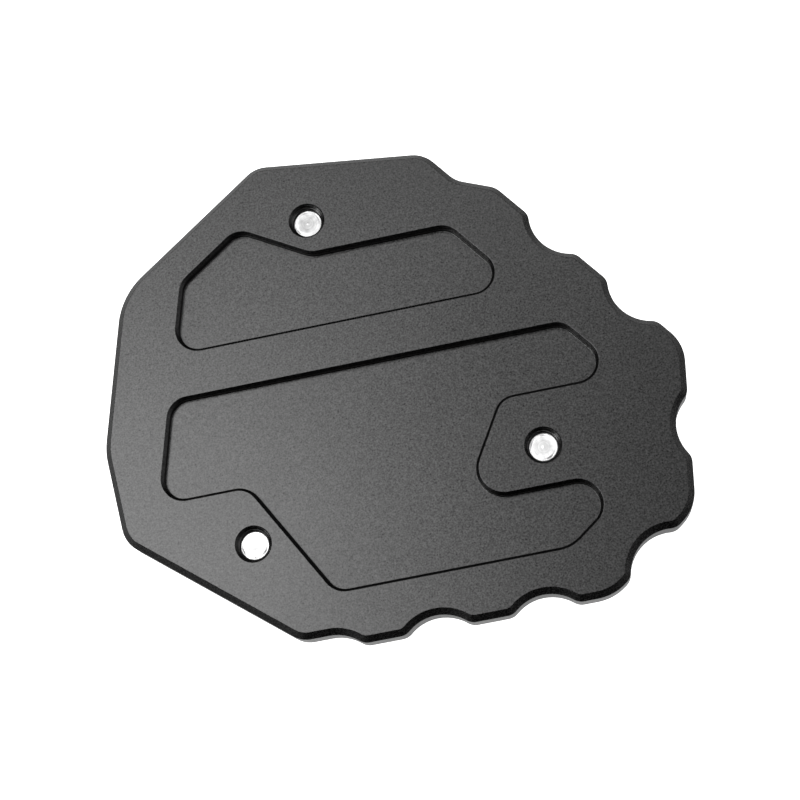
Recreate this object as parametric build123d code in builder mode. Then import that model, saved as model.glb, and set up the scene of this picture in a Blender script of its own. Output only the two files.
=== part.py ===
"""Kickstand foot enlarger: a base plate that widens a motorcycle side stand's foot, the clamp plate
that grips the foot from the other side, and the three screws that join them.

Frame: millimetres, +Z up. The part lies with its ground face up, on the flat outer face of the clamp
plate (Z = 0). +X runs along the long lines of the ground side's pockets. The origin is under the
middle of the outline's box.
"""
from math import cos, radians, sin, sqrt, tan
import os

from build123d import *

# ---------------------------------------------------------------- driving dimensions
BASE_T = 6.0                 # base plate thickness
CLAMP_T = 8.0                # clamp plate thickness
FOOT_T = 5.0                 # room for the thickness of the stand's own foot
EDGE_CHAMFER = 1.05          # chamfer round the base plate's outline, both faces
EDGE_BREAK = 0.12            # blasting and anodising leave the machined edges slightly round

SCALLOP_R = 7.4              # finger-like scallops in the outline
CUSP_R = 2.5                 # rounding where a scallop meets the straight edge

POCKET_DEPTH = 1.5           # shallow pockets of the ground side
POCKET_RIM = 0.5             # 45 degree chamfer at the pocket rims
POCKET_FLOOR_R = 0.12        # rounding between wall and floor

THREAD_R = 3.0               # M6, radius over the crests
MOUTH_CHAMFER = 0.18         # deburred mouth of each tapped hole
SCREW_CLEARANCE = 0.025      # between the screw's crests and the tapped wall
SCREW_LENGTH = 12.0          # over the countersunk head
SCREW_RECESS = 1.5           # the screw's end lies this far under the ground face
SCREW_END_R = 2.38           # flat of the screw's chamfered end
HEAD_R = 6.0                 # countersunk head
HEAD_EDGE = 0.35             # cylindrical land of the head
HEX_AF = 4.0                 # hexagon socket
HEX_DEPTH = 2.4

CLAMP_HOLE_R = 3.3           # clearance hole in the clamp plate
LOBE_R = 8.5                 # clamp plate round each screw
CLAMP_CHAMFER = 1.0          # round the clamp plate's outer face

FOOT_CENTRE = (-5.0, -1.0)   # middle of the stand's foot
FOOT_SIZE = (48.0, 38.0)     # foot of the stand, in plan
FOOT_R = 17.0
LEG_SLOT_W = 26.0            # slot for the stand's leg
LEG_SLOT_Y = 1.0
LEG_SLOT_END = -2.0          # centre of the slot's round end
WALL = 5.0                   # clamp plate outside the foot
BACK_R = 24.0                # rounded back of the clamp plate
ARM_R = 6.0                  # rounded ends of its two arms
ARM_NORTH_Y = 16.0
ARM_SOUTH_Y = -17.0
MOUTH_R = 2.0                # rounding where the leg slot opens

TOP = CLAMP_T + BASE_T       # ground face
SCREW_END_Z = TOP - SCREW_RECESS
HEAD_Z = SCREW_END_Z - SCREW_LENGTH
HEAD_SEAT_R = HEAD_R + 0.16                                # countersink in the clamp plate
SEAT_Z = HEAD_Z + HEAD_EDGE - (HEAD_SEAT_R - 0.01 - HEAD_R)

HOLES = [(-8.91, 31.37), (23.88, -16.48), (-27.01, -23.57)]

# Straight edges of the outline: corners in order, counter-clockwise, each with its rounding
N_NW = (-16.5, 43.6)
NW_W = (-43.6, 24.95)
W_LL = (-50.15, -2.48)
LL_SW = (-48.9, -18.93)
SW_S = (-21.68, -41.05)
S_LINE = -43.38
S_SE = (30.44, S_LINE)
SE_E = (46.48, -31.51)
E_NE = (50.52, -3.68)
NE_NNE = (24.67, 30.72)
NNE_IN = (18.02, 33.53)
IN_N = (13.45, 39.62)

CORNER_R = {N_NW: 5.0, NW_W: 13.0, W_LL: 13.0, LL_SW: 5.6, SW_S: 4.6, S_SE: 8.3, SE_E: 7.1, E_NE: 7.2,
            NE_NNE: 4.0, NNE_IN: 5.2, IN_N: 5.5}

# Scallops: the edge they cut (from corner, to corner), distance along it, depth
SCALLOPS_S = [(1.05, 2.33), (19.02, 2.33)]                     # x along the south edge
SCALLOP_A_X = -16.95                                           # its crown meets the short south-west land
SCALLOP_SE = (9.61, 2.47)
SCALLOP_E = (13.93, 2.27)
SCALLOPS_NE = [(11.63, 2.46), (29.88, 2.36)]

# Pocket rims at the ground face: corners with their rounding
SMALL_POCKET = [((-9.09, 25.55), 4.0), ((-21.36, 32.70), 4.0), ((-32.72, 24.88), 4.0), ((-36.00, 11.80), 4.1),
                ((25.82, 11.80), 4.05), ((15.40, 25.55), 4.0)]
LARGE_POCKET = [((-37.76, 4.18), 4.0), ((-42.16, -13.97), 4.05), ((-26.66, -13.97), 3.6), ((-14.73, -34.46), 4.05),
                ((25.25, -34.46), 6.5), ((40.78, -23.16), 4.3), ((9.34, -23.16), 4.3), ((18.61, -7.31), 3.3),
                ((40.17, -7.31), 4.1), ((31.40, 4.18), 4.05)]


def along(a, b, distance, inward=0.0):
    """Point on the edge from a to b, moved inward (to the left, for a counter-clockwise outline)."""
    dx, dy = b[0] - a[0], b[1] - a[1]
    length = sqrt(dx * dx + dy * dy)
    ux, uy = dx / length, dy / length
    return (a[0] + ux * distance - uy * inward, a[1] + uy * distance + ux * inward)


def scallop(a, b, distance, depth):
    """Start, crown and end of one scallop on the edge from a to b."""
    half = sqrt(SCALLOP_R ** 2 - (SCALLOP_R - depth) ** 2)
    return along(a, b, distance - half), along(a, b, distance, depth), along(a, b, distance + half)


def near(shape, point):
    """The vertex of a flat sketch nearest to a point."""
    return shape.vertices().sort_by_distance((point[0], point[1], 0))[0]


def level_edges(part, z):
    """The edges of a part that lie flat at one height."""
    return part.edges().filter_by(lambda e: abs(e.bounding_box().min.Z - z) < 1e-4 and abs(e.bounding_box().max.Z - z) < 1e-4)


# ---------------------------------------------------------------- base plate
a_drop = SW_S[1] - S_LINE                                   # how far the crown of the first scallop lies in
a_half = sqrt(SCALLOP_R ** 2 - (SCALLOP_R - a_drop) ** 2)
a_start = (SCALLOP_A_X, SW_S[1])
a_end = (SCALLOP_A_X + a_half, S_LINE)
a_angle = radians(90 - 22)
a_mid = (SCALLOP_A_X + SCALLOP_R * cos(a_angle), SW_S[1] - SCALLOP_R + SCALLOP_R * sin(a_angle))

s_from = (0.0, S_LINE)
runs = [scallop(s_from, S_SE, x, d) for x, d in SCALLOPS_S]
runs.append(scallop(S_SE, SE_E, *SCALLOP_SE))
runs.append(scallop(SE_E, E_NE, *SCALLOP_E))
ne_runs = [scallop(E_NE, NE_NNE, x, d) for x, d in SCALLOPS_NE]

with BuildSketch() as outline:
    with BuildLine():
        Polyline(N_NW, NW_W, W_LL, LL_SW, SW_S, a_start)
        ThreePointArc(a_start, a_mid, a_end)
        Line(a_end, runs[0][0])
        ThreePointArc(*runs[0])
        Line(runs[0][2], runs[1][0])
        ThreePointArc(*runs[1])
        Polyline(runs[1][2], S_SE, runs[2][0])
        ThreePointArc(*runs[2])
        Polyline(runs[2][2], SE_E, runs[3][0])
        ThreePointArc(*runs[3])
        Polyline(runs[3][2], E_NE, ne_runs[0][0])
        ThreePointArc(*ne_runs[0])
        Line(ne_runs[0][2], ne_runs[1][0])
        ThreePointArc(*ne_runs[1])
        Polyline(ne_runs[1][2], NE_NNE, NNE_IN, IN_N, N_NW)
    make_face()
    for corner, radius in CORNER_R.items():
        fillet(near(outline, corner), radius=radius)
    for cusp in [a_end] + [p for run in runs + ne_runs for p in (run[0], run[2])]:
        fillet(near(outline, cusp), radius=CUSP_R)


def pocket_sketch(corners):
    """Wall line of a pocket: its rim, drawn in by the rim's chamfer."""
    with BuildSketch() as rim:
        with BuildLine():
            Polyline(*[c for c, _ in corners], close=True)
        make_face()
        for corner, radius in corners:
            fillet(near(rim, corner), radius=radius)
        offset(amount=-POCKET_RIM, kind=Kind.ARC, mode=Mode.REPLACE)
    return rim.sketch


pocket_small = pocket_sketch(SMALL_POCKET)
pocket_large = pocket_sketch(LARGE_POCKET)

with BuildPart() as base_plate:
    with BuildSketch(Plane.XY.offset(CLAMP_T)):
        add(outline.sketch)
    extrude(amount=BASE_T)
    # chamfer round the outline, ground side and stand side
    chamfer(base_plate.faces().sort_by(Axis.Z)[-1].outer_wire().edges(), length=EDGE_CHAMFER)
    chamfer(base_plate.faces().sort_by(Axis.Z)[0].outer_wire().edges(), length=EDGE_CHAMFER)
    # shallow pockets of the ground side, floors rounded into the walls
    with BuildSketch(Plane.XY.offset(TOP)):
        add(pocket_small)
        add(pocket_large)
    extrude(amount=-POCKET_DEPTH, mode=Mode.SUBTRACT)
    floors = base_plate.faces().filter_by(Plane.XY).filter_by(lambda f: abs(f.center().Z - (TOP - POCKET_DEPTH)) < 1e-4)
    fillet([e for f in floors for e in f.outer_wire().edges()], radius=POCKET_FLOOR_R)
    rims = base_plate.faces().sort_by(Axis.Z)[-1].inner_wires()
    chamfer([e for w in rims for e in w.edges()], length=POCKET_RIM)
    # slightly round edges: both edges of each outline chamfer, and both edges of the pocket rims
    for z in (CLAMP_T, CLAMP_T + EDGE_CHAMFER, TOP - EDGE_CHAMFER, TOP, TOP - POCKET_RIM):
        fillet(level_edges(base_plate, z), radius=EDGE_BREAK)
    # tapped holes, with a small chamfer at both mouths
    with Locations(*[(x, y, TOP) for x, y in HOLES]):
        Hole(radius=THREAD_R, depth=BASE_T)
    mouths = base_plate.edges().filter_by(GeomType.CIRCLE).filter_by(lambda e: abs(e.radius - THREAD_R) < 1e-3 and e.length > 18)
    chamfer(mouths, length=MOUTH_CHAMFER)

base_plate.part.label = "base_plate"

# ---------------------------------------------------------------- clamp plate
arm_x = FOOT_CENTRE[0] - FOOT_SIZE[0] / 2 - WALL + ARM_R
with BuildSketch() as clamp_outline:
    # a lobe round each screw, a rounded back round the foot and two arm ends, joined by straight tangents
    with BuildSketch(mode=Mode.PRIVATE) as block:
        with Locations((FOOT_CENTRE[0] + FOOT_SIZE[0] / 2 + WALL - BACK_R, FOOT_CENTRE[1])):
            Circle(BACK_R)
        with Locations(*HOLES):
            Circle(LOBE_R)
        with Locations((arm_x, ARM_NORTH_Y), (arm_x, ARM_SOUTH_Y)):
            Circle(ARM_R)
    make_hull(block.edges())
    # slot for the stand's leg, open towards -X
    with Locations((LEG_SLOT_END, LEG_SLOT_Y)):
        Circle(LEG_SLOT_W / 2, mode=Mode.SUBTRACT)
    with Locations((LEG_SLOT_END - 30.0, LEG_SLOT_Y)):
        Rectangle(60.0, LEG_SLOT_W, mode=Mode.SUBTRACT)

with BuildPart() as clamp_plate:
    add(clamp_outline.sketch)
    extrude(amount=CLAMP_T)
    mouth = clamp_plate.edges().filter_by(Axis.Z).filter_by(
        lambda e: e.center().X < arm_x and abs(abs(e.center().Y - LEG_SLOT_Y) - LEG_SLOT_W / 2) < 1e-3)
    fillet(mouth, radius=MOUTH_R)
    chamfer(clamp_plate.faces().sort_by(Axis.Z)[0].outer_wire().edges(), length=CLAMP_CHAMFER)
    # slightly round edges: both edges of the chamfer, and the edge that lies against the base plate
    for z in (0.0, CLAMP_CHAMFER, CLAMP_T):
        fillet(level_edges(clamp_plate, z), radius=EDGE_BREAK)
    # recess that takes the stand's foot, on the side of the base plate
    with BuildSketch(Plane.XY.offset(CLAMP_T)):
        with Locations(FOOT_CENTRE):
            RectangleRounded(FOOT_SIZE[0], FOOT_SIZE[1], FOOT_R)
    extrude(amount=-FOOT_T, mode=Mode.SUBTRACT)
    # countersunk clearance holes, heads sunk under the outer face
    with Locations(*[Location((x, y, 0), (180, 0, 0)) for x, y in HOLES]):
        Hole(radius=HEAD_SEAT_R, depth=SEAT_Z)
    with Locations(*[Location((x, y, SEAT_Z), (180, 0, 0)) for x, y in HOLES]):
        CounterSinkHole(radius=CLAMP_HOLE_R, counter_sink_radius=HEAD_SEAT_R, depth=CLAMP_T - SEAT_Z, counter_sink_angle=90)

clamp_plate.part.label = "clamp_plate"

# ---------------------------------------------------------------- screws
shank_r = THREAD_R - SCREW_CLEARANCE
with BuildPart() as clamp_screws:
    for x, y in HOLES:
        with BuildSketch(Plane.XZ.offset(-y)):
            with BuildLine():
                Polyline((x, HEAD_Z), (x + HEAD_R, HEAD_Z), (x + HEAD_R, HEAD_Z + HEAD_EDGE),
                         (x + shank_r, HEAD_Z + HEAD_EDGE + HEAD_R - shank_r),
                         (x + shank_r, SCREW_END_Z - (shank_r - SCREW_END_R)),
                         (x + SCREW_END_R, SCREW_END_Z), (x, SCREW_END_Z), close=True)
            make_face()
        revolve(axis=Axis((x, y, 0), (0, 0, 1)))
    with BuildSketch(Plane.XY.offset(HEAD_Z)):
        with Locations(*HOLES):
            RegularPolygon(radius=HEX_AF / 2, side_count=6, major_radius=False)
    extrude(amount=HEX_DEPTH, mode=Mode.SUBTRACT)

clamp_screws.part.label = "clamp_screws"

# ---------------------------------------------------------------- export
os.makedirs("parts", exist_ok=True)
for piece in (base_plate, clamp_plate, clamp_screws):
    export_step(piece.part, f"parts/{piece.part.label}.step")
    box = piece.part.bounding_box()
    print(piece.part.label, "solids", len(piece.part.solids()), "valid", piece.part.is_valid, "volume %.1f" % piece.part.volume,
          "x %.3f..%.3f y %.3f..%.3f z %.3f..%.3f" % (box.min.X, box.max.X, box.min.Y, box.max.Y, box.min.Z, box.max.Z))
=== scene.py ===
"""Kickstand foot enlarger: finishes, screw and thread detail, stage, light and camera.

Metres, +Z up, ground face up at Z = 14 mm, the same frame as the CAD.
"""
import math

import bpy
from mathutils import Matrix, Vector


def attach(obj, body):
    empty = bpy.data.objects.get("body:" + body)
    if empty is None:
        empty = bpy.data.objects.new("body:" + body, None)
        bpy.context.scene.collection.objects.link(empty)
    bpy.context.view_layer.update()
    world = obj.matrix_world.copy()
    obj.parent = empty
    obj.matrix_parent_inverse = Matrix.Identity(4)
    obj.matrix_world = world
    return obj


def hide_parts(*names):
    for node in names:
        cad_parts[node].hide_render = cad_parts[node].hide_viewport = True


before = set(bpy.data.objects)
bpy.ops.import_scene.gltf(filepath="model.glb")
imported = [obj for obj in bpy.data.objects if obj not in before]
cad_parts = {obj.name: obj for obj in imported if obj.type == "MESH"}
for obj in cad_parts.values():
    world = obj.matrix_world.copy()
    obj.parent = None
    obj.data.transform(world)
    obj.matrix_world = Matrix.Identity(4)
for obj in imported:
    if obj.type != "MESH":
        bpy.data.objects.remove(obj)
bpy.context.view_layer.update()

MM = 0.001

# ---------------------------------------------------------------- sizes shared with the CAD, in millimetres
HOLES = [(-8.91, 31.37), (23.88, -16.48), (-27.01, -23.57)]
TOP = 14.0               # ground face
BASE_BOTTOM = 8.0        # underside of the base plate
SCREW_END = 12.5         # flat end of each screw
HEAD_Z = 0.5             # outer face of each screw's head
PITCH = 1.0              # M6 coarse
BORE_R = 3.0             # wall of the tapped hole, over the thread's roots
CREST_R = 2.6            # inner radius of the tapped thread
MOUTH_R = 3.18           # rim of the mouth chamfer
SCREW_R = 2.965          # over the screw's crests
SCREW_ROOT_R = 2.42
SCREW_END_R = 2.44
HEAD_R = 6.0
HEAD_EDGE = 0.35
HEX_AF = 4.0
HEX_DEPTH = 2.4


# ---------------------------------------------------------------- small helpers
def new_object(name, verts, faces, smooth_angle=30.0):
    """A mesh object from points in millimetres, smooth shaded up to an angle."""
    mesh = bpy.data.meshes.new(name)
    mesh.from_pydata([(x * MM, y * MM, z * MM) for x, y, z in verts], [], faces)
    mesh.validate()
    mesh.shade_smooth()
    mesh.set_sharp_from_angle(angle=math.radians(smooth_angle))
    obj = bpy.data.objects.new(name, mesh)
    bpy.context.scene.collection.objects.link(obj)
    return obj


class Nodes:
    """Short way to build a node tree."""

    def __init__(self, name):
        self.mat = bpy.data.materials.new(name)
        self.mat.use_nodes = True
        self.tree = self.mat.node_tree
        self.tree.nodes.clear()

    def add(self, kind, **inputs):
        node = self.tree.nodes.new(kind)
        for key, value in inputs.items():
            if hasattr(node, key) and key not in node.inputs:
                setattr(node, key, value)
            else:
                self.set(node, key, value)
        return node

    def set(self, node, key, value):
        socket = node.inputs[key]
        if isinstance(value, bpy.types.NodeSocket):
            self.tree.links.new(value, socket)
        else:
            socket.default_value = value

    def link(self, a, b):
        self.tree.links.new(a, b)

    def math(self, op, a, b=None, c=None, clamp=False):
        node = self.tree.nodes.new("ShaderNodeMath")
        node.operation = op
        node.use_clamp = clamp
        for i, v in enumerate((a, b, c)):
            if v is None:
                continue
            if isinstance(v, bpy.types.NodeSocket):
                self.link(v, node.inputs[i])
            else:
                node.inputs[i].default_value = v
        return node.outputs[0]

    def map_range(self, value, a, b, c, d, smooth=False):
        node = self.tree.nodes.new("ShaderNodeMapRange")
        node.interpolation_type = "SMOOTHSTEP" if smooth else "LINEAR"
        self.link(value, node.inputs["Value"])
        for key, v in zip(("From Min", "From Max", "To Min", "To Max"), (a, b, c, d)):
            node.inputs[key].default_value = v
        return node.outputs["Result"]


# ---------------------------------------------------------------- materials
DIMPLE_SCALE = 3300.0     # per metre: the blasting's dimples, about a third of a millimetre across
GRAIN = 0.50              # how much their tone varies
GRIT = 0.07               # how much their roughness varies
FINER_CUT = 0.065         # how much smoother the outline's chamfers are
CREST_LIGHT_PAINT = 2.1              # how much brighter the crests of the tapped threads are painted: a painted highlight standing in for light the screws' ends reflect onto them


def anodised(name, base, rough, seed=0.0, painted_crest_light=False):
    """Bead-blasted aluminium, anodised black: fine even grain, satin sheen."""
    n = Nodes(name)
    coord = n.add("ShaderNodeTexCoord").outputs["Object"]
    shifted = n.add("ShaderNodeVectorMath", operation="ADD")
    n.link(coord, shifted.inputs[0])
    shifted.inputs[1].default_value = (seed, seed * 0.7, seed * 0.3)
    pos = shifted.outputs[0]

    dimple = n.add("ShaderNodeTexNoise", Scale=DIMPLE_SCALE, Detail=1.0, Roughness=0.6)
    n.link(pos, dimple.inputs["Vector"])
    mottle = n.add("ShaderNodeTexNoise", Scale=1500.0, Detail=1.0, Roughness=0.5)
    n.link(pos, mottle.inputs["Vector"])
    cloud = n.add("ShaderNodeTexNoise", Scale=60.0, Detail=3.0, Roughness=0.55)
    n.link(pos, cloud.inputs["Vector"])

    # how much light each grain gives back: dimples, a coarser mottle and a very soft cloud
    tone = n.math("MAXIMUM", n.map_range(dimple.outputs["Fac"], 0.2, 0.8, 1.0 - GRAIN, 1.0 + GRAIN), 0.15)
    tone = n.math("MULTIPLY", tone, n.map_range(mottle.outputs["Fac"], 0.2, 0.8, 0.88, 1.12))
    tone = n.math("MULTIPLY", tone, n.map_range(cloud.outputs["Fac"], 0.25, 0.75, 0.97, 1.03))
    if painted_crest_light:                                  # painted highlight: the crests of the tapped threads are painted bright, standing in for light the screws' ends reflect onto them
        flat = n.add("ShaderNodeVectorMath", operation="MULTIPLY")
        n.link(coord, flat.inputs[0])
        flat.inputs[1].default_value = (1.0, 1.0, 0.0)
        radius = None
        for x, y in HOLES:
            d = n.add("ShaderNodeVectorMath", operation="DISTANCE")
            n.link(flat.outputs[0], d.inputs[0])
            d.inputs[1].default_value = (x * MM, y * MM, 0.0)
            radius = d.outputs["Value"] if radius is None else n.math("MINIMUM", radius, d.outputs["Value"])
        tone = n.math("MULTIPLY", tone, n.map_range(radius, 0.00262, 0.00272, CREST_LIGHT_PAINT, 1.0, True))
    colour = n.add("ShaderNodeVectorMath", operation="SCALE")
    colour.inputs[0].default_value = base
    n.link(tone, colour.inputs["Scale"])

    # the outline's chamfers were cut finer, so they shine a little sharper than the faces, the walls and the pockets' rims
    facing = n.add("ShaderNodeTexCoord").outputs["Normal"]
    up = n.add("ShaderNodeSeparateXYZ")
    n.link(facing, up.inputs[0])
    level = n.math("ABSOLUTE", up.outputs["Z"])
    cut = n.math("MULTIPLY", n.map_range(level, 0.35, 0.55, 0.0, FINER_CUT, True), n.map_range(level, 0.80, 0.95, 1.0, 0.0, True))
    level_place = n.add("ShaderNodeVectorMath", operation="MULTIPLY")
    n.link(coord, level_place.inputs[0])
    level_place.inputs[1].default_value = (1.0, 1.0, 0.0)
    outward = n.add("ShaderNodeVectorMath", operation="DOT_PRODUCT")
    n.link(level_place.outputs[0], outward.inputs[0])
    n.link(facing, outward.inputs[1])
    cut = n.math("MULTIPLY", cut, n.map_range(outward.outputs["Value"], 0.002, 0.010, 0.0, 1.0, True))
    rough_out = n.math("ADD", n.map_range(dimple.outputs["Fac"], 0.2, 0.8, -GRIT, GRIT), rough)
    rough_out = n.math("SUBTRACT", rough_out, cut)

    relief = n.add("ShaderNodeBump", Strength=1.0)
    relief.inputs["Distance"].default_value = 0.000006
    n.link(dimple.outputs["Fac"], relief.inputs["Height"])

    shader = n.add("ShaderNodeBsdfPrincipled")
    shader.inputs["Metallic"].default_value = 1.0
    n.link(colour.outputs[0], shader.inputs["Base Color"])
    n.link(rough_out, shader.inputs["Roughness"])
    n.link(relief.outputs["Normal"], shader.inputs["Normal"])
    out = n.add("ShaderNodeOutputMaterial")
    n.link(shader.outputs[0], out.inputs["Surface"])
    return n.mat


SCREW_LIGHT_PAINT = [0.90, 1.28, 1.06]      # painted light: each screw's end is painted brighter or darker to match how much light it catches


def turned_steel(name, base, rough):
    """Bright turned steel: rings from turning round each screw's axis, a greyer middle, a few stains."""
    n = Nodes(name)
    coord = n.add("ShaderNodeTexCoord").outputs["Object"]
    grit = n.add("ShaderNodeTexNoise", Scale=2600.0, Detail=3.0, Roughness=0.6)
    n.link(coord, grit.inputs["Vector"])
    blot = n.add("ShaderNodeTexNoise", Scale=1100.0, Detail=2.0, Roughness=0.5)
    n.link(coord, blot.inputs["Vector"])
    # distance from the nearest screw's axis
    flat = n.add("ShaderNodeVectorMath", operation="MULTIPLY")
    n.link(coord, flat.inputs[0])
    flat.inputs[1].default_value = (1.0, 1.0, 0.0)
    radius, shade = None, None
    for (x, y), s in zip(HOLES, SCREW_LIGHT_PAINT):
        d = n.add("ShaderNodeVectorMath", operation="DISTANCE")
        n.link(flat.outputs[0], d.inputs[0])
        d.inputs[1].default_value = (x * MM, y * MM, 0.0)
        own = n.math("MULTIPLY", n.math("LESS_THAN", d.outputs["Value"], 0.008), s)
        radius = d.outputs["Value"] if radius is None else n.math("MINIMUM", radius, d.outputs["Value"])
        shade = own if shade is None else n.math("ADD", shade, own)
    # the rings wander a little, as from chatter
    wander = n.math("ADD", radius, n.map_range(blot.outputs["Fac"], 0.2, 0.8, -0.00010, 0.00010))
    rings = n.add("ShaderNodeTexNoise", noise_dimensions="1D", Scale=5200.0, Detail=2.0, Roughness=0.55)
    n.link(wander, rings.inputs["W"])
    middle = n.map_range(wander, 0.00120, 0.00205, 0.87, 1.18, True)
    centre = n.map_range(radius, 0.00010, 0.00026, 1.35, 1.0, True)
    tone = n.math("MULTIPLY", n.math("MULTIPLY", middle, centre), n.map_range(rings.outputs["Fac"], 0.25, 0.75, 0.80, 1.18))
    tone = n.math("MULTIPLY", tone, n.map_range(blot.outputs["Fac"], 0.25, 0.75, 0.80, 1.18))
    # painted light: each screw's end scaled by its own brightness factor
    tone = n.math("MULTIPLY", tone, shade)
    colour = n.add("ShaderNodeVectorMath", operation="SCALE")
    colour.inputs[0].default_value = base
    n.link(tone, colour.inputs["Scale"])
    rough_out = n.math("ADD", n.map_range(grit.outputs["Fac"], 0.3, 0.7, -0.04, 0.05), rough)
    relief = n.add("ShaderNodeBump", Strength=1.0)
    relief.inputs["Distance"].default_value = 0.000004
    n.link(n.math("ADD", n.math("MULTIPLY", rings.outputs["Fac"], 2.0), grit.outputs["Fac"]), relief.inputs["Height"])
    shader = n.add("ShaderNodeBsdfPrincipled")
    shader.inputs["Metallic"].default_value = 1.0
    n.link(colour.outputs[0], shader.inputs["Base Color"])
    n.link(rough_out, shader.inputs["Roughness"])
    n.link(relief.outputs["Normal"], shader.inputs["Normal"])
    out = n.add("ShaderNodeOutputMaterial")
    n.link(shader.outputs[0], out.inputs["Surface"])
    return n.mat


BLACK = (0.0530, 0.0530, 0.0530)
SATIN = 0.33
mat_base = anodised("base_anodised_black", BLACK, SATIN, painted_crest_light=True)
mat_clamp = anodised("clamp_anodised_black", BLACK, SATIN, seed=0.37)
mat_steel = turned_steel("screw_bright_steel", (0.54, 0.54, 0.54), 0.42)


# ---------------------------------------------------------------- threads and screws
def thread_height(phase):
    """Share of the full thread height at a phase of 0 to 1 along the pitch, crest at 0.5: 60 degree flanks, flat crest and root."""
    d = abs((phase % 1.0) - 0.5)          # 0 at the crest, 0.5 at the root
    crest, root = 0.0625, 0.375
    if d <= crest:
        return 1.0
    if d >= root:
        return 0.0
    return (root - d) / (root - crest)


def notch(phase):
    """How deep the run-out of the thread nicks the rim of a screw's flat end, in millimetres."""
    d = abs((phase % 1.0) - 0.5)
    t = max(0.0, min(1.0, (d - 0.30) / 0.17))
    return 0.07 * t * t * (3 - 2 * t)


def screw_parts(cx, cy, turn, socket_turn, dents, cols=72, per_pitch=20):
    """One countersunk socket screw: head down at HEAD_Z, threaded shank, turned end with feed rings and a pip."""
    verts, faces = [], []

    def ring(radius, z, count=cols):
        first = len(verts)
        for i in range(count):
            a = 2 * math.pi * i / count
            r = radius(a) if callable(radius) else radius
            verts.append((cx + r * math.cos(a), cy + r * math.sin(a), z(a) if callable(z) else z))
        return first

    def bridge(a, b, count=cols, flip=False):
        for i in range(count):
            j = (i + 1) % count
            quad = (a + i, a + j, b + j, b + i)
            faces.append(quad[::-1] if flip else quad)

    # socket: hexagon with a rounded floor edge, drawn as six-sided rings with the same number of columns
    def hexagon(af, z):
        def radius(a):
            local = (a - math.radians(socket_turn) + math.pi / 6) % (math.pi / 3) - math.pi / 6
            return (af / 2) / math.cos(local)
        return ring(radius, z)

    rows = []
    floor_z = HEAD_Z + HEX_DEPTH
    verts.append((cx, cy, floor_z + 0.55))                     # drill point
    tip = 0
    cone = ring(1.55, floor_z + 0.10)
    for i in range(cols):
        faces.append((tip, cone + (i + 1) % cols, cone + i))
    rows.append(cone)
    rows.append(hexagon(HEX_AF - 0.10, floor_z))
    rows.append(hexagon(HEX_AF, floor_z - 0.08))
    rows.append(hexagon(HEX_AF, HEAD_Z + 0.22))
    rows.append(ring(2.33, HEAD_Z))                            # socket mouth chamfer
    for r in (2.9, 3.6, 4.3, 5.0):
        rows.append(ring(r, HEAD_Z))
    rows.append(ring(HEAD_R - 0.14, HEAD_Z))
    rows.append(ring(HEAD_R - 0.05, HEAD_Z + 0.03))
    rows.append(ring(HEAD_R, HEAD_Z + 0.12))
    rows.append(ring(HEAD_R, HEAD_Z + HEAD_EDGE))
    neck_z = HEAD_Z + HEAD_EDGE + HEAD_R - SCREW_ROOT_R
    rows.append(ring(SCREW_ROOT_R + 0.12, neck_z - 0.12))
    # threaded shank, from the run-out under the head to the chamfered end
    z0, z1 = neck_z, SCREW_END - 0.045
    count = int(round((z1 - z0) / PITCH * per_pitch))
    for k in range(count + 1):
        z = z0 + (z1 - z0) * k / count
        run_out = min(1.0, max(0.0, (z - z0) / 0.9))
        cap = SCREW_END_R + (z1 - z) * 1.0                     # 45 degree end chamfer

        def radius(a, z=z, run_out=run_out, cap=cap):
            phase = z / PITCH - (a + turn) / (2 * math.pi)
            r = SCREW_ROOT_R + (SCREW_R - SCREW_ROOT_R) * thread_height(phase) * run_out
            return min(r - notch(phase) * max(0.0, 1.0 - (z1 - z) / 0.6), cap)
        rows.append(ring(radius, z))

    def rim(a):
        """Radius of the flat end, nicked where the last turn of the thread runs out over it."""
        return min(SCREW_ROOT_R - notch(z1 / PITCH - (a + turn) / (2 * math.pi)), SCREW_END_R)
    def dent(a):
        """Depth of the burr rolled into the rim at some angles, as a share."""
        total = 0.0
        for centre, width, deep in dents:
            d = (a - math.radians(centre) + math.pi) % (2 * math.pi) - math.pi
            total += deep * math.exp(-(d / math.radians(width)) ** 2)
        return total

    # turned end: rolled rim, a burr in places, shallow feed rings and a small pip in the middle
    end_rows = [(2.415, 0.020, 0.0), (2.36, 0.034, 0.0), (2.28, 0.036, -0.1), (2.20, 0.034, -0.5), (2.13, 0.034, -1.0), (2.06, 0.036, -0.7),
                (1.99, 0.036, -0.2), (1.91, 0.034, 0.0), (1.82, 0.039, 0.0), (1.70, 0.032, 0.0), (1.58, 0.038, 0.0), (1.45, 0.030, 0.0),
                (1.32, 0.036, 0.0), (1.19, 0.028, 0.0), (1.06, 0.034, 0.0), (0.93, 0.026, 0.0), (0.80, 0.032, 0.0), (0.67, 0.024, 0.0),
                (0.54, 0.029, 0.0), (0.42, 0.022, 0.0), (0.32, 0.024, 0.0), (0.22, 0.031, 0.0), (0.14, 0.039, 0.0), (0.07, 0.042, 0.0)]
    for r, dz, share in end_rows:
        blend = max(0.0, (r - 1.2) / (SCREW_END_R - 1.2))
        rows.append(ring(lambda a: r * (1.0 + (rim(a) / SCREW_END_R - 1.0) * blend),
                         lambda a: SCREW_END - 0.045 + dz + 0.075 * share * dent(a)))
    for a, b in zip(rows, rows[1:]):
        bridge(a, b)
    verts.append((cx, cy, SCREW_END - 0.045 + 0.043))
    last = len(verts) - 1
    for i in range(cols):
        faces.append((rows[-1] + i, rows[-1] + (i + 1) % cols, last))
    return verts, faces


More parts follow.
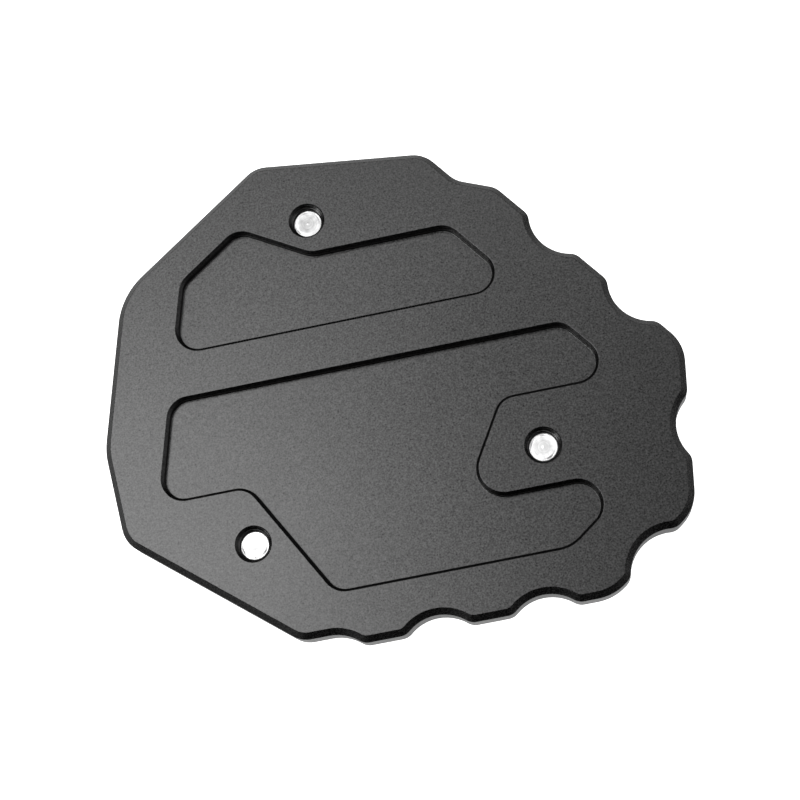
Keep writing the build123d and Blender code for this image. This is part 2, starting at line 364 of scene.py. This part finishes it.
def tapped_ridge(cx, cy, turn, z_low=8.45, z_high=14.16, steps=72):
    """The ridge of the tapped thread on the wall of a hole: a closed strip along the helix, cut by the cone of the mouth."""
    verts, faces = [], []
    back = BORE_R + 0.01
    levels = (-0.43, -0.36, -0.28, -0.20, -0.125, 0.0, 0.125, 0.20, 0.28, 0.36, 0.43)
    first, last = int(z_low * steps), int(z_high * steps)
    for k in range(first, last + 1):
        a = 2 * math.pi * k / steps
        z = PITCH * k / steps
        start = min(1.0, (k - first) / (steps * 0.3) + 0.02)        # the thread begins and ends gently
        top = TOP - (MOUTH_R - BORE_R) - 0.004
        ring = []
        for i, dz in enumerate(levels):
            zz = min(z + dz, top - 0.003 * (len(levels) - 1 - i))
            depth = max(0.0, min(1.0, (0.43 - abs(zz - z)) / (0.43 - 0.125))) * (BORE_R - CREST_R) * start
            r = max(BORE_R - depth, MOUTH_R - (TOP - zz), CREST_R)
            ring.append((min(r, BORE_R - 0.0005), zz))
        ring.append((back, ring[-1][1]))
        ring.append((back, ring[0][1]))
        for r, zz in ring:
            verts.append((cx + r * math.cos(a - turn), cy + r * math.sin(a - turn), zz))
    m = len(levels) + 2
    total = last - first
    for k in range(total):
        for i in range(m):
            j = (i + 1) % m
            faces.append((k * m + j, (k + 1) * m + j, (k + 1) * m + i, k * m + i))
    for i in range(m - 2):                                          # both ends, as fans from the strip's back edge
        faces.append((m - 1, i + 1, i))
        faces.append((total * m + m - 1, total * m + i, total * m + i + 1))
    return verts, faces


def joined(name, parts, smooth_angle):
    verts, faces = [], []
    for v, f in parts:
        base = len(verts)
        verts += v
        faces += [tuple(i + base for i in face) for face in f]
    return new_object(name, verts, faces, smooth_angle)


THREAD_TURNS = [0.85, 0.80, 0.80]      # where each hole's thread, and its screw's, begins
SOCKET_TURNS = [25, 50, 5]            # each screw's socket stopped at its own angle, in steps of 5 degrees
DENTS = [[(209, 22, 0.8), (15, 16, 0.7), (95, 14, 0.5)],       # burrs on each end: angle, half width, share of the depth
         [(160, 30, 1.0), (292, 26, 1.0), (80, 12, 0.6)],
         [(196, 24, 1.0), (322, 22, 1.0), (262, 16, 0.7)]]

screws = joined("clamp_screws_threaded",
                [screw_parts(x, y, t, k, d) for (x, y), t, k, d in zip(HOLES, THREAD_TURNS, SOCKET_TURNS, DENTS)], 35.0)
screws.data.materials.append(mat_steel)
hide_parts("clamp_screws")
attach(screws, "root")

threads = joined("tapped_threads", [tapped_ridge(x, y, t) for (x, y), t in zip(HOLES, THREAD_TURNS)], 40.0)
threads.data.materials.append(mat_base)
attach(threads, "root")

# ---------------------------------------------------------------- the CAD nodes' finishes
for node, mat in (("base_plate", mat_base), ("clamp_plate", mat_clamp)):
    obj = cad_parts[node]
    obj.data.materials.clear()
    obj.data.materials.append(mat)


# ---------------------------------------------------------------- stage
def floor_material():
    """Pale matt floor with a painted pool of light behind the object and a painted glow round it, burnt out to white
    where it is seen directly.
    """
    n = Nodes("stage_floor")
    diffuse = n.add("ShaderNodeBsdfDiffuse")
    diffuse.inputs["Color"].default_value = (0.72, 0.72, 0.72, 1.0)
    where = n.add("ShaderNodeNewGeometry").outputs["Position"]
    away = n.add("ShaderNodeVectorMath", operation="DISTANCE")
    n.link(where, away.inputs[0])
    away.inputs[1].default_value = POOL
    # painted pool of light on the floor behind the object, standing in for a lamp
    pool = n.map_range(away.outputs["Value"], POOL_R * 0.35, POOL_R, POOL_GLOW, 0.0, True)
    middle = n.add("ShaderNodeVectorMath", operation="LENGTH")
    n.link(where, middle.inputs[0])
    # painted glow on the floor round the object, so its walls reflect a brighter floor
    near = n.map_range(middle.outputs["Value"], 0.056, 0.085, NEAR_GLOW, 0.0, True)
    seen = n.add("ShaderNodeLightPath").outputs["Is Camera Ray"]
    strength = n.math("ADD", n.math("MULTIPLY", seen, 0.95), n.math("ADD", n.math("ADD", pool, near), 0.05))
    glow = n.add("ShaderNodeEmission")
    glow.inputs["Color"].default_value = (1.0, 1.0, 1.0, 1.0)
    n.link(strength, glow.inputs["Strength"])
    both = n.add("ShaderNodeAddShader")
    n.link(diffuse.outputs[0], both.inputs[0])
    n.link(glow.outputs[0], both.inputs[1])
    out = n.add("ShaderNodeOutputMaterial")
    n.link(both.outputs[0], out.inputs["Surface"])
    return n.mat


POOL = (-0.075, 0.150, 0.0)
POOL_R = 0.13
POOL_GLOW = 0.20
NEAR_GLOW = 0.39


def floor():
    size = 3.0
    z = -0.00005
    mesh = bpy.data.meshes.new("floor")
    mesh.from_pydata([(-size, -size, z), (size, -size, z), (size, size, z), (-size, size, z)], [], [(0, 1, 2, 3)])
    obj = bpy.data.objects.new("floor", mesh)
    bpy.context.scene.collection.objects.link(obj)
    obj.data.materials.append(floor_material())
    return obj


floor()


# ---------------------------------------------------------------- light
def softbox(name, x0, x1, y0, y1, z, radiance):
    """A level softbox over the object, by its edges in metres."""
    data = bpy.data.lights.new(name, "AREA")
    data.shape = "RECTANGLE"
    data.size, data.size_y = x1 - x0, y1 - y0
    data.energy = radiance * math.pi * (x1 - x0) * (y1 - y0)
    obj = bpy.data.objects.new(name, data)
    bpy.context.scene.collection.objects.link(obj)
    obj.location = ((x0 + x1) / 2, (y0 + y1) / 2, z)
    return obj


softbox("key_softbox", -0.50, -0.10, -0.10, 0.275, 0.80, 7.0)
softbox("fill_softbox", -0.70, 0.30, 0.30, 0.50, 0.80, 2.1)
softbox("spill_softbox", -0.16, 0.03, 0.02, 0.17, 0.79, 1.0)


STRIP = 16.0
BAND = 0.50
FAINT = 0.08


def studio_world():
    """A dim studio round the object: soft light overhead, a pale wall to the east, a small lamp to the west, a low glow to the south-west, a faint one to the south-east, pale walls."""
    world = bpy.data.worlds.new("studio")
    bpy.context.scene.world = world
    world.use_nodes = True
    n = Nodes.__new__(Nodes)
    n.tree = world.node_tree
    n.tree.nodes.clear()
    way = n.add("ShaderNodeTexCoord").outputs["Generated"]
    sep = n.add("ShaderNodeSeparateXYZ")
    n.link(way, sep.inputs[0])
    x, y, z = sep.outputs["X"], sep.outputs["Y"], sep.outputs["Z"]
    overhead = n.map_range(z, 0.60, 0.82, 0.0, 0.24, True)
    east = n.add("ShaderNodeVectorMath", operation="DOT_PRODUCT")
    n.link(way, east.inputs[0])
    east.inputs[1].default_value = (0.809, 0.0, 0.588)
    wall = n.math("MULTIPLY", n.math("POWER", n.math("MAXIMUM", east.outputs["Value"], 0.0), 10.0), 0.98)
    southwest = n.add("ShaderNodeVectorMath", operation="DOT_PRODUCT")
    n.link(way, southwest.inputs[0])
    southwest.inputs[1].default_value = (-0.809, -0.588, 0.0)
    low = n.math("MULTIPLY", n.map_range(z, 0.06, 0.20, 1.0, 0.0, True),
                 n.map_range(southwest.outputs["Value"], 0.80, 0.98, 0.0, 0.28, True))
    strip = n.add("ShaderNodeVectorMath", operation="DOT_PRODUCT")
    n.link(way, strip.inputs[0])
    strip.inputs[1].default_value = (-0.802, -0.245, 0.545)
    side = n.math("MULTIPLY", n.math("POWER", n.math("MAXIMUM", strip.outputs["Value"], 0.0), 140.0), STRIP)
    band = n.math("MULTIPLY", n.map_range(z, 0.29, 0.46, 0.0, BAND, True), n.map_range(z, 0.56, 0.74, 1.0, 0.0, True))
    band = n.math("MULTIPLY", band, n.math("MULTIPLY", n.map_range(y, -0.35, 0.15, 0.0, 1.0, True), n.map_range(x, 0.10, 0.60, 1.0, 0.25, True)))
    southeast = n.add("ShaderNodeVectorMath", operation="DOT_PRODUCT")
    n.link(way, southeast.inputs[0])
    southeast.inputs[1].default_value = (0.683, -0.683, 0.259)
    faint = n.math("MULTIPLY", n.math("POWER", n.math("MAXIMUM", southeast.outputs["Value"], 0.0), 12.0), FAINT)
    total = n.math("ADD", n.math("ADD", n.math("ADD", overhead, wall), side), n.math("ADD", n.math("ADD", low, band), faint))
    seen = n.add("ShaderNodeLightPath").outputs["Is Camera Ray"]
    strength = n.math("MAXIMUM", total, n.math("MULTIPLY", seen, 1.05))
    back = n.add("ShaderNodeBackground")
    back.inputs["Color"].default_value = (1.0, 1.0, 1.0, 1.0)
    n.link(strength, back.inputs["Strength"])
    out = n.add("ShaderNodeOutputWorld")
    n.link(back.outputs[0], out.inputs["Surface"])


studio_world()

scene = bpy.context.scene
scene.view_settings.view_transform = "Standard"
scene.view_settings.look = "None"

# ---------------------------------------------------------------- camera
# Focal length 1800 px on an 800 px picture; the picture's nadir lies at (609.4, 866.4) px.
FOCAL, WIDTH = 1800.0, 800.0
NADIR = (609.4, 866.4)
CAMERA_MM = (20.92, -85.24, 308.08)
PLATE_TURN = -10.0

n0 = Vector((NADIR[0] - WIDTH / 2, NADIR[1] - WIDTH / 2, FOCAL)).normalized()
x_axis = (Vector((1, 0, 0)) - n0[0] * n0).normalized()
y_axis = -n0.cross(x_axis)
turn = Matrix.Rotation(math.radians(PLATE_TURN), 3, "Z")
right = turn @ Vector((x_axis[0], y_axis[0], -n0[0]))
down = turn @ Vector((x_axis[1], y_axis[1], -n0[1]))
forward = turn @ Vector((x_axis[2], y_axis[2], -n0[2]))

cam_data = bpy.data.cameras.new("camera")
cam_data.sensor_width = 36.0
cam_data.lens = FOCAL / WIDTH * 36.0
cam_data.clip_start, cam_data.clip_end = 0.01, 20.0
cam = bpy.data.objects.new("camera", cam_data)
bpy.context.scene.collection.objects.link(cam)
basis = Matrix((right, -down, -forward)).transposed().to_4x4()
basis.translation = Vector(CAMERA_MM) * MM
cam.matrix_world = basis
bpy.context.scene.camera = cam
